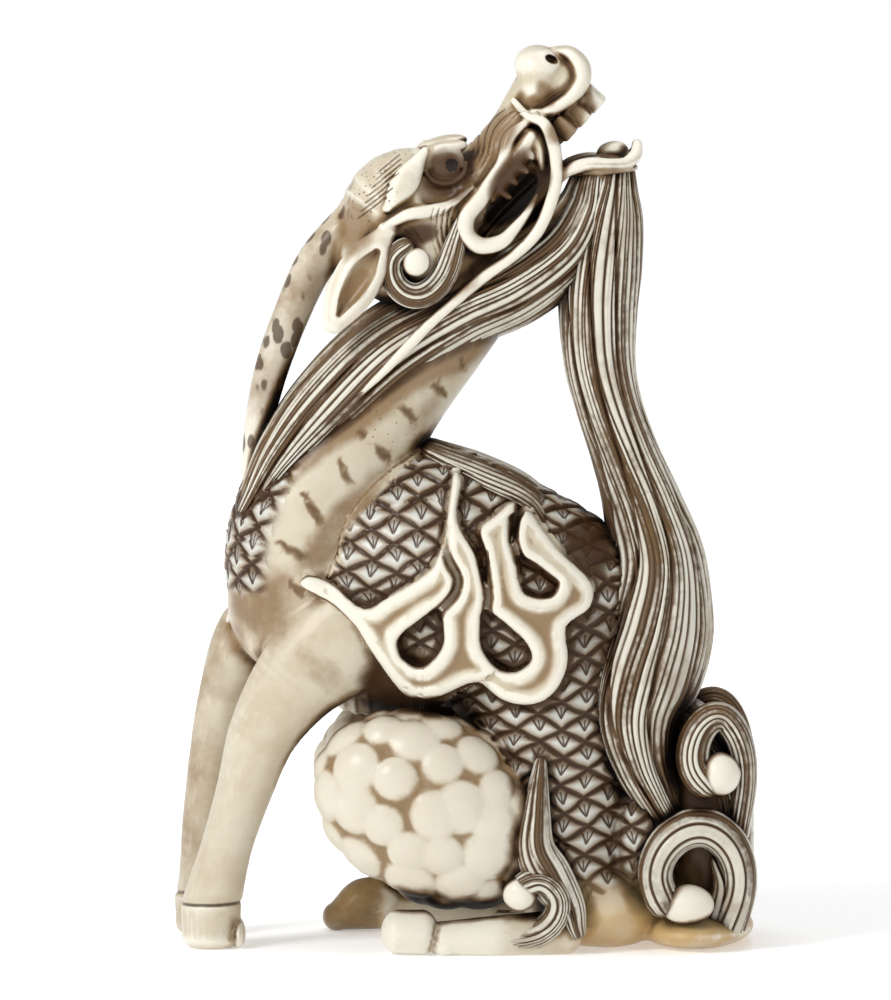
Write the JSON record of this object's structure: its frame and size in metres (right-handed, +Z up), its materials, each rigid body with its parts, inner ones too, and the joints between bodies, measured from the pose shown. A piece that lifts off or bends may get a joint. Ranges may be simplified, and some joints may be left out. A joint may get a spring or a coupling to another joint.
{
  "type": "netsuke",
  "caption": "Carved netsuke of a seated kirin with its head thrown back, one horn, flame-edged shoulders and a bushy tail that rises to the chin.",
  "frame": {"origin": "middle of the footprint's box, on the ground", "axes": "+Z up, the beast faces -X, and -Y is the near flank that a viewer sees"},
  "size_m": [0.0643, 0.0336, 0.0991],
  "materials": {
    "ivory": "polished, with brown stain in the cuts"
  },
  "bodies": {
    "root": {"kirin": "ivory"}
  },
  "joints": []
}
